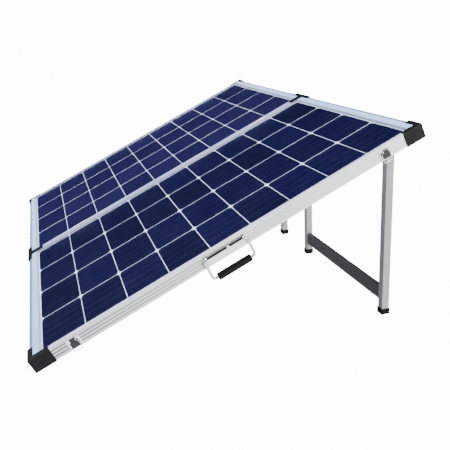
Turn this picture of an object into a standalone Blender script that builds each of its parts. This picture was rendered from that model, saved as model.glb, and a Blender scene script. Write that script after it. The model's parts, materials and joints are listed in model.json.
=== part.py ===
"""Folding solar suitcase kit: two framed panels, unfolded side by side and propped on their leg frames.

Everything is laid out in the slope frame, which lies in the plane of the panels' front faces:
x runs across, from the far panel (-x) to the near panel (+x), with the fold line at x = 0;
y runs up the slope, from the frames' low ends at y = 0; z is square to the glass, and the frames' front is z = 0.
The panels' inner edges meet at the fold, and their outer edges are the kit's two sides.
"""

import math

import bmesh
import bpy
from mathutils import Vector

# Whole kit
PANEL_LENGTH = 1.033
PANEL_WIDTH = 0.659
FRAME_DEPTH = 0.035
TILT = math.radians(26.6)
CLEARANCE = 0.0003

# Aluminium frame section
WALL = 0.002
LIP_THICKNESS = 0.0015
LONG_LIP = 0.0105
END_LIP = 0.026
LONG_SHOULDER = (0.0012, 0.0012)
END_SHOULDER = (0.010, 0.0025)
LONG_LEDGE = 0.010
END_LEDGE = 0.020
BACK_FLANGE = 0.006
RIB_GROOVES = 3
RIB_PITCH = 0.008
RIB_GROOVE_WIDTH = 0.003
RIB_GROOVE_DEPTH = 0.0008
FIRST_GROOVE = 0.010

# Laminate: glass in front, cells and backsheet behind it
GLASS_THICKNESS = 0.0032
SHEET_THICKNESS = 0.0013

# Corner protectors
PROTECTOR_REACH = 0.049
PROTECTOR_WALL = 0.0032
PROTECTOR_COVER = 0.0010
PROTECTOR_LIP = 0.0107
PROTECTOR_MEETING_GAP = 0.0006
PROTECTOR_BEVEL = 0.0015

# Fold hinges
HINGE_FROM_END = 0.190
HINGE_LENGTH = 0.060
HINGE_MIDDLE_KNUCKLE = 0.020
KNUCKLE_RADIUS = 0.0026
HINGE_PIN_RADIUS = 0.00125
HINGE_PIN_CLEARANCE = 0.0002
LEAF_THICKNESS = 0.0015
LEAF_DROP = 0.020
KNUCKLE_GAP = 0.0004

# Leg frames
TUBE = 0.020
TUBE_WALL = 0.0015
LEG_SPACING = 0.460
LEG_FROM_EDGE = 0.024
PIVOT_FROM_END = 0.081
PIVOT_DEPTH = 0.0225
TUBE_PAST_PIVOT = 0.008
LEG_LEAN = math.radians(3.2)
CROSSBAR_HEIGHT = 0.035
CROSSBAR_THICKNESS = 0.015
CROSSBAR_ABOVE_GROUND = 0.036
FOOT_WALL = 0.0017
FOOT_HEIGHT = 0.016
FOOT_SOLE = 0.004
BOLT_RADIUS = 0.0037
BOLT_HEAD_RADIUS = 0.0065
BOLT_HEAD = 0.0026
EAR_THICKNESS = 0.002
EAR_RADIUS = 0.008
BRACE_WIDTH = 0.020
BRACE_RECESS = 0.0053
BRACE_FROM_PIVOT = 0.016

# Carrying handle, in the middle of the near panel's outer side
HANDLE_Y = 0.488
HANDLE_PLATE_LENGTH = 0.113
HANDLE_PLATE_THICKNESS = 0.0016
HANDLE_PLATE_DROP = 0.005
HANDLE_PLATE_MARGIN = 0.002
HANDLE_PIVOT_OUT = 0.0085
HANDLE_PIVOT_DROP = 0.0125
BAIL_WIDTH = 0.111
BAIL_LENGTH = 0.051
BAIL_RADIUS = 0.003
BAIL_BEND = 0.010
BAIL_STUB = 0.0105
EYE_WIDTH = 0.0055
EYE_SIZE = 0.011
GRIP_RADIUS = 0.009
GRIP_LENGTH = 0.088

# Toggle latches on the near panel's outer side, keepers on the far panel's
LATCH_FROM_LOW = 0.101
LATCH_FROM_HIGH = 0.107
LATCH_PLATE_LENGTH = 0.031
LATCH_PLATE_THICKNESS = 0.0015
LATCH_PLATE_DROP = 0.008
LATCH_PLATE_MARGIN = 0.004
LEVER_PIVOT = (0.006, 0.011)
LEVER_NECK_WIDTH = 0.0125
LEVER_WIDTH = 0.018
LEVER_NECK_BELOW = 0.004
LEVER_LENGTH = 0.0175
LEVER_BACK = 0.0025
LEVER_FRONT = 0.0082
LEVER_PIN_RADIUS = 0.0014
LATCH_EAR = 0.0013
LATCH_EAR_HALF = 0.0026
LOOP_PIVOT = (0.0048, 0.017)
LOOP_WIRE_RADIUS = 0.0010
LOOP_LENGTH = 0.022
LOOP_BEND = 0.004
LOOP_PIN_DEPTH = 0.0035
KEEPER_PLATE = (0.026, 0.014, 0.0015)
KEEPER_DROP = 0.0015
KEEPER_HOOK_SIDE_GAP = 0.002
KEEPER_HOOK_THICKNESS = 0.0022
KEEPER_HOOK_REACH = 0.0055

# Junction boxes and charge controller, on the backs
JUNCTION_BOX = (0.110, 0.080, 0.018)
JUNCTION_FROM_BRACE = 0.045
JUNCTION_WALL = 0.002
JUNCTION_LID = 0.003
GLAND_RADIUS = 0.0065
GLAND_LENGTH = 0.014
GLAND_SPACING = 0.060
CONTROLLER = (0.150, 0.085, 0.022)
CONTROLLER_Y = 0.290
CONTROLLER_BEVEL = 0.003
SCREEN = (0.052, 0.034, 0.0012)
SCREEN_OFFSET = 0.030
BUTTON_RADIUS = 0.006
BUTTON_OFFSET = 0.040
BUTTON_TRAVEL = 0.0012
BUTTON_STAND = 0.0016
BUTTON_DEPTH = 0.005

# Worked out from the above
PANEL_GAP = 2 * (PROTECTOR_WALL + CLEARANCE) + PROTECTOR_MEETING_GAP
INNER_EDGE = PANEL_GAP / 2
OUTER_EDGE = INNER_EDGE + PANEL_WIDTH
FOLD_HEIGHT = PROTECTOR_COVER + PROTECTOR_MEETING_GAP / 2
GLASS_TOP = -LIP_THICKNESS - CLEARANCE
SHEET_TOP = GLASS_TOP - GLASS_THICKNESS - CLEARANCE
SHEET_BACK = SHEET_TOP - SHEET_THICKNESS
LEDGE_TOP = SHEET_BACK - CLEARANCE
LEDGE_BACK = LEDGE_TOP - LIP_THICKNESS
END_RAIL_INSET = max(LONG_LIP, LONG_LEDGE, BACK_FLANGE) + CLEARANCE
HANDLE_PLATE_HEIGHT = FRAME_DEPTH - HANDLE_PLATE_DROP - HANDLE_PLATE_MARGIN
LATCH_PLATE_HEIGHT = FRAME_DEPTH - LATCH_PLATE_DROP - LATCH_PLATE_MARGIN
PIVOT_Y = PANEL_LENGTH - PIVOT_FROM_END
FOOT_WIDTH = TUBE + 2 * (CLEARANCE + FOOT_WALL)
LOW_EDGE_Y = -PROTECTOR_WALL - CLEARANCE
LOW_EDGE_Z = -FRAME_DEPTH - CLEARANCE - PROTECTOR_COVER
PIVOT_HEIGHT = (PIVOT_Y - LOW_EDGE_Y) * math.sin(TILT) + (-PIVOT_DEPTH - LOW_EDGE_Z) * math.cos(TILT)
LEG_LENGTH = (PIVOT_HEIGHT - FOOT_WIDTH / 2 * math.sin(LEG_LEAN)) / math.cos(LEG_LEAN)


def clear_scene():
    for obj in list(bpy.data.objects):
        bpy.data.objects.remove(obj)


def make_material(name, colour, roughness, metallic=0.0):
    material = bpy.data.materials.new(name)
    material.use_nodes = True
    shader = material.node_tree.nodes["Principled BSDF"]
    shader.inputs["Base Color"].default_value = (*colour, 1.0)
    shader.inputs["Roughness"].default_value = roughness
    shader.inputs["Metallic"].default_value = metallic
    material.diffuse_color = (*colour, 1.0)
    return material


def add_empty(name, place, parent=None, turn=0.0):
    """An empty at a place in the slope frame, turned about x. Its children are laid out from that place."""
    empty = bpy.data.objects.new(name, None)
    empty.empty_display_size = 0.03
    bpy.context.scene.collection.objects.link(empty)
    empty["place"] = tuple(place)
    empty.parent = parent
    start = Vector(parent["place"]) if parent else Vector((0, 0, 0))
    empty.location = Vector(place) - start
    empty.rotation_euler = (turn, 0, 0)
    return empty


def link_mesh(name, data, material, parent, own_frame=False):
    """Links an object whose mesh is in the slope frame or, with own_frame, in its parent's own."""
    obj = bpy.data.objects.new(name, data)
    bpy.context.scene.collection.objects.link(obj)
    obj.parent = parent
    if not own_frame:
        obj.location = -Vector(parent["place"])
    if material:
        data.materials.append(material)
    return obj


def add_mesh(name, shape, material, parent, smooth=False, own_frame=False):
    bmesh.ops.recalc_face_normals(shape, faces=shape.faces)
    data = bpy.data.meshes.new(name)
    shape.to_mesh(data)
    shape.free()
    if smooth:
        data.shade_smooth()
        data.set_sharp_from_angle(angle=math.radians(35))
    return link_mesh(name, data, material, parent, own_frame)


def prism(name, outline, axis, start, end, material, parent, smooth=False, own_frame=False):
    """A flat outline carried from start to end along an axis: (y, z) for x, (x, z) for y, (x, y) for z."""
    shape = bmesh.new()
    place = {
        "x": lambda u, v, w: (w, u, v),
        "y": lambda u, v, w: (u, w, v),
        "z": lambda u, v, w: (u, v, w),
    }[axis]
    ends = [[shape.verts.new(place(u, v, w)) for u, v in outline] for w in (start, end)]
    for ring in ends:
        shape.faces.new(ring)
    count = len(outline)
    for i in range(count):
        j = (i + 1) % count
        shape.faces.new((ends[0][i], ends[0][j], ends[1][j], ends[1][i]))
    return add_mesh(name, shape, material, parent, smooth, own_frame)


def box(name, low, high, material, parent, own_frame=False):
    outline = [(low[0], low[1]), (high[0], low[1]), (high[0], high[1]), (low[0], high[1])]
    return prism(name, outline, "z", low[2], high[2], material, parent, own_frame=own_frame)


def circle(centre, radius, sides=24):
    steps = [2 * math.pi * i / sides for i in range(sides)]
    return [(centre[0] + radius * math.cos(a), centre[1] + radius * math.sin(a)) for a in steps]


def rod(name, axis, centre, radius, start, end, material, parent, sides=24, own_frame=False):
    return prism(name, circle(centre, radius, sides), axis, start, end, material, parent, sides > 6, own_frame)


def wire(name, points, radius, material, parent):
    """A round wire through the points, with closed ends."""
    data = bpy.data.curves.new(name, "CURVE")
    data.dimensions = "3D"
    data.bevel_depth = radius
    data.bevel_resolution = 3
    data.use_fill_caps = True
    spline = data.splines.new("POLY")
    spline.points.add(len(points) - 1)
    for point, place in zip(spline.points, points):
        point.co = (*place, 1)
    return link_mesh(name, data, material, parent)


def rounded(corners, bend, steps=6):
    """The path through the corners, in 3D, with each inner corner turned on an arc of the bend radius."""
    path = [Vector(corners[0])]
    for before, here, after in zip(corners, corners[1:], corners[2:]):
        here = Vector(here)
        back = (Vector(before) - here).normalized()
        ahead = (Vector(after) - here).normalized()
        half = back.angle(ahead) / 2
        centre = here + (back + ahead).normalized() * bend / math.sin(half)
        first = here + back * bend / math.tan(half) - centre
        last = here + ahead * bend / math.tan(half) - centre
        turn = first.angle(last)
        for i in range(steps + 1):
            share = i / steps
            blend = first * math.sin((1 - share) * turn) + last * math.sin(share * turn)
            path.append(centre + blend / math.sin(turn))
    path.append(Vector(corners[-1]))
    return path


def boolean(obj, other, operation):
    other.hide_render = True
    other.display_type = "WIRE"
    modifier = obj.modifiers.new(f"{operation.lower()} {other.name}", "BOOLEAN")
    modifier.operation = operation
    modifier.solver = "EXACT"
    modifier.object = other
    return obj


def bevel(obj, width, segments=2):
    modifier = obj.modifiers.new("edges", "BEVEL")
    modifier.width = width
    modifier.segments = segments
    modifier.limit_method = "ANGLE"


def rail_outline(lip, shoulder, ledge):
    """The frame section as (distance in from the outer face, z): ribbed side, front lip, glass ledge, back flange."""
    across, drop = shoulder
    points = [(lip, 0), (across, 0), (0, -drop)]
    for i in range(RIB_GROOVES):
        top = -FIRST_GROOVE - i * RIB_PITCH + RIB_GROOVE_WIDTH / 2
        bottom = top - RIB_GROOVE_WIDTH
        inner_top = top - RIB_GROOVE_DEPTH
        inner_bottom = bottom + RIB_GROOVE_DEPTH
        points += [(0, top), (RIB_GROOVE_DEPTH, inner_top), (RIB_GROOVE_DEPTH, inner_bottom), (0, bottom)]
    points += [(0, -FRAME_DEPTH), (BACK_FLANGE, -FRAME_DEPTH), (BACK_FLANGE, -FRAME_DEPTH + LIP_THICKNESS)]
    points += [(WALL, -FRAME_DEPTH + LIP_THICKNESS), (WALL, LEDGE_BACK), (ledge, LEDGE_BACK)]
    points += [(ledge, LEDGE_TOP), (WALL, LEDGE_TOP), (WALL, -LIP_THICKNESS), (lip, -LIP_THICKNESS)]
    return points


def frame_rails(label, side, parent):
    """The four rails of one panel. The long rails run its full length, and the end rails fit between them."""
    long_section = rail_outline(LONG_LIP, LONG_SHOULDER, LONG_LEDGE)
    end_section = rail_outline(END_LIP, END_SHOULDER, END_LEDGE)
    inner = [(side * (INNER_EDGE + u), z) for u, z in long_section]
    outer = [(side * (OUTER_EDGE - u), z) for u, z in long_section]
    prism(f"{label}_inner_side_rail", inner, "y", 0, PANEL_LENGTH, ALUMINIUM, parent)
    prism(f"{label}_outer_side_rail", outer, "y", 0, PANEL_LENGTH, ALUMINIUM, parent)
    start = side * (INNER_EDGE + END_RAIL_INSET)
    end = side * (OUTER_EDGE - END_RAIL_INSET)
    low = [(u, z) for u, z in end_section]
    high = [(PANEL_LENGTH - u, z) for u, z in end_section]
    prism(f"{label}_low_end_rail", low, "x", start, end, ALUMINIUM, parent)
    prism(f"{label}_high_end_rail", high, "x", start, end, ALUMINIUM, parent)


def laminate(label, side, parent):
    """Glass, and the cells on their backsheet, held between the frame's lip and ledge."""
    edge = WALL + CLEARANCE
    xs = sorted((side * (INNER_EDGE + edge), side * (OUTER_EDGE - edge)))
    for part, top, thickness, material in (
        ("glass", GLASS_TOP, GLASS_THICKNESS, GLASS),
        ("cell_sheet", SHEET_TOP, SHEET_THICKNESS, CELLS),
    ):
        low = (xs[0], edge, top - thickness)
        high = (xs[1], PANEL_LENGTH - edge, top)
        box(f"{label}_{part}", low, high, material, parent)


def corner_protectors(label, side, parent):
    """Caps over the four corners: outside walls, and a lip on the front and on the back."""
    middle = side * (INNER_EDGE + OUTER_EDGE) / 2
    half = PANEL_WIDTH / 2 + CLEARANCE
    front = CLEARANCE
    back = -FRAME_DEPTH - CLEARANCE
    frame_block = box(
        f"{label}_frame_block",
        (middle - half, -CLEARANCE, back),
        (middle + half, PANEL_LENGTH + CLEARANCE, front),
        None,
        parent,
    )
    window = half - PROTECTOR_LIP
    opening = box(
        f"{label}_protector_opening",
        (middle - window, PROTECTOR_LIP - CLEARANCE, 2 * back),
        (middle + window, PANEL_LENGTH + CLEARANCE - PROTECTOR_LIP, -back),
        None,
        parent,
    )
    outside = half + PROTECTOR_WALL
    for edge_name, across in (("inner", -side), ("outer", side)):
        for end_name, along in (("low", -1), ("high", 1)):
            x = middle + across * outside
            y = PANEL_LENGTH / 2 + along * (PANEL_LENGTH / 2 + CLEARANCE + PROTECTOR_WALL)
            far_x = x - across * (PROTECTOR_REACH + PROTECTOR_WALL)
            far_y = y - along * (PROTECTOR_REACH + PROTECTOR_WALL)
            cap = box(
                f"{label}_{edge_name}_{end_name}_protector",
                (min(x, far_x), min(y, far_y), back - PROTECTOR_COVER),
                (max(x, far_x), max(y, far_y), PROTECTOR_COVER),
                BLACK_PLASTIC,
                parent,
            )
            bevel(cap, PROTECTOR_BEVEL if edge_name == "outer" else PROTECTOR_COVER / 2)
            boolean(cap, frame_block, "DIFFERENCE")
            boolean(cap, opening, "DIFFERENCE")


def leaf_outline(side):
    face = side * (INNER_EDGE - CLEARANCE)
    inner = face - side * LEAF_THICKNESS
    return face, inner


def hinge(label, y, near_parent, far_parent):
    """A butt hinge in the gap between the panels: two leaves with knuckles on the fold line, and their pin."""
    half = HINGE_LENGTH / 2
    middle = HINGE_MIDDLE_KNUCKLE / 2
    spans = {
        1: [(-half, -middle - KNUCKLE_GAP), (middle + KNUCKLE_GAP, half)],
        -1: [(-middle, middle)],
    }
    hole_radius = HINGE_PIN_RADIUS + HINGE_PIN_CLEARANCE
    for side, parent, name in ((1, near_parent, "near"), (-1, far_parent, "far")):
        face, inner = leaf_outline(side)
        top = FOLD_HEIGHT - KNUCKLE_RADIUS - KNUCKLE_GAP * 2
        xs = sorted((face, inner))
        leaf = box(
            f"{label}_{name}_leaf", (xs[0], y - half, -LEAF_DROP), (xs[1], y + half, top), STEEL, parent
        )
        for i, (start, end) in enumerate(spans[side]):
            neck = box(
                f"{label}_{name}_neck_{i}",
                (xs[0], y + start, top - LEAF_THICKNESS),
                (xs[1], y + end, FOLD_HEIGHT),
                None,
                parent,
            )
            centre = (0, FOLD_HEIGHT)
            knuckle = rod(
                f"{label}_{name}_knuckle_{i}", "y", centre, KNUCKLE_RADIUS, y + start, y + end, None, parent
            )
            boolean(leaf, neck, "UNION")
            boolean(leaf, knuckle, "UNION")
        hole = rod(
            f"{label}_{name}_pin_hole", "y", (0, FOLD_HEIGHT), hole_radius, y - half * 2, y + half * 2, None, parent
        )
        boolean(leaf, hole, "DIFFERENCE")
    rod(f"{label}_pin", "y", (0, FOLD_HEIGHT), HINGE_PIN_RADIUS, y - half, y + half, STEEL, near_parent)


def leg_places(first):
    """The two legs of a leg frame, by name, and where each stands across the panel."""
    return (("right", first), ("left", first - LEG_SPACING))


def leg_brace(label, side, first_leg, parent):
    """A channel across the back, with a pair of ears for each leg's pivot bolt."""
    edge = WALL + CLEARANCE
    low = PIVOT_Y + BRACE_FROM_PIVOT
    high = low + BRACE_WIDTH
    front = LEDGE_BACK - CLEARANCE
    back = -FRAME_DEPTH + BRACE_RECESS
    outline = [
        (low, back),
        (low, front),
        (high, front),
        (high, back),
        (high - WALL, back),
        (high - WALL, front - WALL),
        (low + WALL, front - WALL),
        (low + WALL, back),
    ]
    start = side * (INNER_EDGE + edge)
    end = side * (OUTER_EDGE - edge)
    brace = prism(f"{label}_leg_brace", outline, "x", start, end, ALUMINIUM, parent)
    inside = TUBE / 2 + CLEARANCE
    reach = low + WALL / 2
    round_end = [
        (PIVOT_Y + EAR_RADIUS * math.cos(a), -PIVOT_DEPTH + EAR_RADIUS * math.sin(a))
        for a in (math.pi / 2 + math.pi * i / 10 for i in range(11))
    ]
    outline = [(reach, -PIVOT_DEPTH + EAR_RADIUS), *round_end, (reach, -PIVOT_DEPTH - EAR_RADIUS)]
    for name, x in leg_places(first_leg):
        for i, across in enumerate((-1, 1)):
            start = x + across * inside
            end = start + across * EAR_THICKNESS
            ear = prism(f"{label}_{name}_ear_{i}", outline, "x", start, end, None, parent)
            boolean(brace, ear, "UNION")
    hole = rod(
        f"{label}_brace_bolt_hole",
        "x",
        (PIVOT_Y, -PIVOT_DEPTH),
        BOLT_RADIUS + CLEARANCE,
        first_leg + TUBE,
        first_leg - LEG_SPACING - TUBE,
        None,
        parent,
    )
    boolean(brace, hole, "DIFFERENCE")


def pivot_bolt(name, x, parent):
    """A bolt through both ears and the leg, with its head on one side and its nut on the other."""
    centre = (PIVOT_Y, -PIVOT_DEPTH)
    inside = TUBE / 2 + CLEARANCE + EAR_THICKNESS + CLEARANCE
    bolt = rod(name, "x", centre, BOLT_RADIUS, x - inside - BOLT_HEAD, x + inside + BOLT_HEAD, STEEL, parent)
    for i, across in enumerate((-1, 1)):
        start = x + across * inside
        end = start + across * BOLT_HEAD
        nut = rod(f"{name}_hexagon_{i}", "x", centre, BOLT_HEAD_RADIUS, start, end, None, parent, 6)
        boolean(bolt, nut, "UNION")


def leg_frame(label, pivot):
    """Two square tubes, a crossbar and rubber feet, in the pivot's own frame: the legs run down -z."""
    half = TUBE / 2
    bore = half - TUBE_WALL
    sole = -LEG_LENGTH
    foot_half = FOOT_WIDTH / 2
    socket = half + CLEARANCE
    for name, x in leg_places(0):
        tube_end = sole + FOOT_SOLE + CLEARANCE
        leg = box(
            f"{label}_{name}_leg", (x - half, -half, tube_end), (x + half, half, TUBE_PAST_PIVOT),
            LEG_ALUMINIUM, pivot, True,
        )
        inside = box(
            f"{label}_{name}_leg_bore", (x - bore, -bore, tube_end - TUBE), (x + bore, bore, TUBE),
            None, pivot, True,
        )
        hole = rod(
            f"{label}_{name}_leg_hole", "x", (0, 0), BOLT_RADIUS + CLEARANCE, x - TUBE, x + TUBE,
            None, pivot, own_frame=True,
        )
        boolean(leg, inside, "DIFFERENCE")
        boolean(leg, hole, "DIFFERENCE")
        foot = box(
            f"{label}_{name}_foot",
            (x - foot_half, -foot_half, sole),
            (x + foot_half, foot_half, sole + FOOT_HEIGHT),
            RUBBER, pivot, True,
        )
        pocket = box(
            f"{label}_{name}_foot_socket",
            (x - socket, -socket, sole + FOOT_SOLE),
            (x + socket, socket, sole + 2 * FOOT_HEIGHT),
            None, pivot, True,
        )
        boolean(foot, pocket, "DIFFERENCE")
    bottom = sole + CROSSBAR_ABOVE_GROUND
    box(
        f"{label}_leg_crossbar",
        (-LEG_SPACING + socket, -CROSSBAR_THICKNESS / 2, bottom),
        (-socket, CROSSBAR_THICKNESS / 2, bottom + CROSSBAR_HEIGHT),
        DARK_ALUMINIUM, pivot, True,
    )


def junction_box(label, side, parent):
    """An open box on the backsheet with two cable glands, and its lid."""
    width, length, depth = JUNCTION_BOX
    x = side * (INNER_EDGE + OUTER_EDGE) / 2
    high = PIVOT_Y - JUNCTION_FROM_BRACE
    low = high - length
    front = LEDGE_TOP
    back = front - depth
    shell = box(
        f"{label}_junction_box", (x - width / 2, low, back), (x + width / 2, high, front), BLACK_PLASTIC, parent
    )
    inner = width / 2 - JUNCTION_WALL
    cavity = box(
        f"{label}_junction_cavity",
        (x - inner, low + JUNCTION_WALL, back - depth),
        (x + inner, high - JUNCTION_WALL, front - JUNCTION_WALL),
        None,
        parent,
    )
    for i, across in enumerate((-1, 1)):
        centre = (x + across * GLAND_SPACING / 2, (front + back) / 2)
        gland = rod(
            f"{label}_gland_{i}", "y", centre, GLAND_RADIUS, low - GLAND_LENGTH, low + JUNCTION_WALL / 2, None, parent
        )
        boolean(shell, gland, "UNION")
    boolean(shell, cavity, "DIFFERENCE")
    box(
        f"{label}_junction_lid",
        (x - width / 2, low, back - CLEARANCE - JUNCTION_LID),
        (x + width / 2, high, back - CLEARANCE),
        BLACK_PLASTIC,
        parent,
    )


def controller(parent):
    """The charge controller on the near panel's back: case, display and one push button."""
    width, length, depth = CONTROLLER
    x = (INNER_EDGE + OUTER_EDGE) / 2
    front = LEDGE_TOP
    back = front - depth
    low = (x - width / 2, CONTROLLER_Y - length / 2, back)
    high = (x + width / 2, CONTROLLER_Y + length / 2, front)
    case = box("controller_case", low, high, BLACK_PLASTIC, parent)
    bevel(case, CONTROLLER_BEVEL)
    screen_half = (SCREEN[0] / 2, SCREEN[1] / 2)
    screen_x = x - SCREEN_OFFSET
    recess = box(
        "controller_recess",
        (screen_x - screen_half[0] - CLEARANCE, CONTROLLER_Y - screen_half[1] - CLEARANCE, back - depth),
        (screen_x + screen_half[0] + CLEARANCE, CONTROLLER_Y + screen_half[1] + CLEARANCE, back + SCREEN[2]),
        None,
        parent,
    )
    boolean(case, recess, "DIFFERENCE")
    box(
        "controller_screen",
        (screen_x - screen_half[0], CONTROLLER_Y - screen_half[1], back - CLEARANCE),
        (screen_x + screen_half[0], CONTROLLER_Y + screen_half[1], back + SCREEN[2] - CLEARANCE),
        SCREEN_GLASS,
        parent,
    )
    centre = (x + BUTTON_OFFSET, CONTROLLER_Y)
    well = rod(
        "controller_button_well", "z", centre, BUTTON_RADIUS + CLEARANCE,
        back - depth, back + BUTTON_DEPTH + BUTTON_TRAVEL + CLEARANCE, None, parent,
    )
    boolean(case, well, "DIFFERENCE")
    button_axis = add_empty("controller_button_axis", (*centre, back), parent)
    rod(
        "controller_button", "z", centre, BUTTON_RADIUS, back - BUTTON_STAND, back + BUTTON_DEPTH,
        GREY_PLASTIC, button_axis,
    )


def handle(parent):
    """Chrome plate with two eyes, the wire bail that swings in them, and its grip."""
    plate_half = HANDLE_PLATE_LENGTH / 2
    thickness = HANDLE_PLATE_THICKNESS
    face = OUTER_EDGE + CLEARANCE
    plate = box(
        "handle_plate",
        (face, HANDLE_Y - plate_half, -HANDLE_PLATE_DROP - HANDLE_PLATE_HEIGHT),
        (face + thickness, HANDLE_Y + plate_half, -HANDLE_PLATE_DROP),
        CHROME,
        parent,
    )
    pivot = (OUTER_EDGE + HANDLE_PIVOT_OUT, -HANDLE_PIVOT_DROP)
    stub_end = BAIL_WIDTH / 2 - BAIL_STUB
    for i, along in enumerate((-1, 1)):
        start = HANDLE_Y + along * (stub_end + CLEARANCE)
        end = start + along * EYE_WIDTH
        ys = sorted((start, end))
        eye = box(
            f"handle_eye_{i}",
            (face + thickness / 2, ys[0], pivot[1] - EYE_SIZE / 2),
            (pivot[0] + EYE_SIZE / 2, ys[1], pivot[1] + EYE_SIZE / 2),
            None,
            parent,
        )
        boolean(plate, eye, "UNION")
        hole = rod(
            f"handle_eye_hole_{i}", "y", pivot, BAIL_RADIUS + CLEARANCE,
            ys[0] - EYE_WIDTH, ys[1] + EYE_WIDTH, None, parent,
        )
        boolean(plate, hole, "DIFFERENCE")
    swing = add_empty("handle_axis", (pivot[0], HANDLE_Y, pivot[1]), parent)
    half = BAIL_WIDTH / 2
    x, z = pivot
    corners = [
        (x, HANDLE_Y - stub_end, z),
        (x, HANDLE_Y - half, z),
        (x, HANDLE_Y - half, z - BAIL_LENGTH),
        (x, HANDLE_Y + half, z - BAIL_LENGTH),
        (x, HANDLE_Y + half, z),
        (x, HANDLE_Y + stub_end, z),
    ]
    top_bend = rounded(corners[:3], BAIL_STUB - EYE_WIDTH - CLEARANCE)
    low_bends = rounded(corners[1:5], BAIL_BEND)
    end_bend = rounded(corners[3:], BAIL_STUB - EYE_WIDTH - CLEARANCE)
    wire("handle_bail", top_bend[:-1] + low_bends[1:-1] + end_bend[1:], BAIL_RADIUS, CHROME, swing)
    centre = (x, z - BAIL_LENGTH)
    grip = rod(
        "handle_grip", "y", centre, GRIP_RADIUS, HANDLE_Y - GRIP_LENGTH / 2, HANDLE_Y + GRIP_LENGTH / 2,
        GRIP_RUBBER, swing,
    )
    bore = rod(
        "handle_grip_bore", "y", centre, BAIL_RADIUS + CLEARANCE, HANDLE_Y - GRIP_LENGTH,
        HANDLE_Y + GRIP_LENGTH, None, swing,
    )
    boolean(grip, bore, "DIFFERENCE")


def latch(label, y, parent):
    """A toggle latch: plate with two ears, the lever between them, and the wire loop that hooks the keeper."""
    plate_half = LATCH_PLATE_LENGTH / 2
    thickness = LATCH_PLATE_THICKNESS
    face = OUTER_EDGE + CLEARANCE
    plate = box(
        f"{label}_latch_plate",
        (face, y - plate_half, -LATCH_PLATE_DROP - LATCH_PLATE_HEIGHT),
        (face + thickness, y + plate_half, -LATCH_PLATE_DROP),
        CHROME,
        parent,
    )
    pivot = (OUTER_EDGE + LEVER_PIVOT[0], -LEVER_PIVOT[1])
    ear_start = LEVER_NECK_WIDTH / 2 + CLEARANCE
    for i, along in enumerate((-1, 1)):
        ys = sorted((y + along * ear_start, y + along * (ear_start + LATCH_EAR)))
        ear = box(
            f"{label}_latch_ear_{i}",
            (face + thickness / 2, ys[0], pivot[1] - LATCH_EAR_HALF),
            (pivot[0] + LATCH_EAR_HALF, ys[1], pivot[1] + LATCH_EAR_HALF),
            None,
            parent,
        )
        boolean(plate, ear, "UNION")
    ear_hole = rod(
        f"{label}_latch_ear_hole", "y", pivot, LEVER_PIN_RADIUS + CLEARANCE,
        y - plate_half, y + plate_half, None, parent, 16,
    )
    boolean(plate, ear_hole, "DIFFERENCE")

    lever_axis = add_empty(f"{label}_lever_axis", (pivot[0], y, pivot[1]), parent)
    back = OUTER_EDGE + LEVER_BACK
    front = OUTER_EDGE + LEVER_FRONT
    neck_end = pivot[1] - LEVER_NECK_BELOW
    lever = box(
        f"{label}_latch_lever",
        (back, y - LEVER_WIDTH / 2, pivot[1] - LEVER_LENGTH),
        (front, y + LEVER_WIDTH / 2, neck_end),
        BLACK_PLASTIC,
        lever_axis,
    )
    neck = box(
        f"{label}_lever_neck",
        (pivot[0] - LATCH_EAR_HALF, y - LEVER_NECK_WIDTH / 2, neck_end - LEVER_NECK_BELOW),
        (pivot[0] + LEVER_PIN_RADIUS, y + LEVER_NECK_WIDTH / 2, pivot[1] + LEVER_PIN_RADIUS),
        None,
        lever_axis,
    )
    pin_reach = ear_start + LATCH_EAR
    pin = rod(f"{label}_lever_pin", "y", pivot, LEVER_PIN_RADIUS, y - pin_reach, y + pin_reach, None, lever_axis, 16)
    boolean(lever, neck, "UNION")
    boolean(lever, pin, "UNION")
    hook = (OUTER_EDGE + LOOP_PIVOT[0], -LOOP_PIVOT[1])
    for i, along in enumerate((-1, 1)):
        ys = sorted((y + along * (LEVER_WIDTH / 2 - LOOP_PIN_DEPTH - CLEARANCE), y + along * LEVER_WIDTH))
        hole = rod(
            f"{label}_lever_hole_{i}", "y", hook, LOOP_WIRE_RADIUS + CLEARANCE, ys[0], ys[1], None, lever_axis, 16
        )
        boolean(lever, hole, "DIFFERENCE")

    loop_axis = add_empty(f"{label}_loop_axis", (hook[0], y, hook[1]), lever_axis)
    half = LEVER_WIDTH / 2 + CLEARANCE + LOOP_WIRE_RADIUS * 1.2
    inner = LEVER_WIDTH / 2 - LOOP_PIN_DEPTH
    x, z = hook
    corners = [
        (x, y - inner, z),
        (x, y - half, z),
        (x, y - half, z - LOOP_LENGTH),
        (x, y + half, z - LOOP_LENGTH),
        (x, y + half, z),
        (x, y + inner, z),
    ]
    small = LOOP_WIRE_RADIUS * 1.25
    start = rounded(corners[:3], small, 4)
    bottom = rounded(corners[1:5], LOOP_BEND, 5)
    end = rounded(corners[3:], small, 4)
    wire(f"{label}_latch_loop", start[:-1] + bottom[1:-1] + end[1:], LOOP_WIRE_RADIUS, CHROME, loop_axis)


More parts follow.
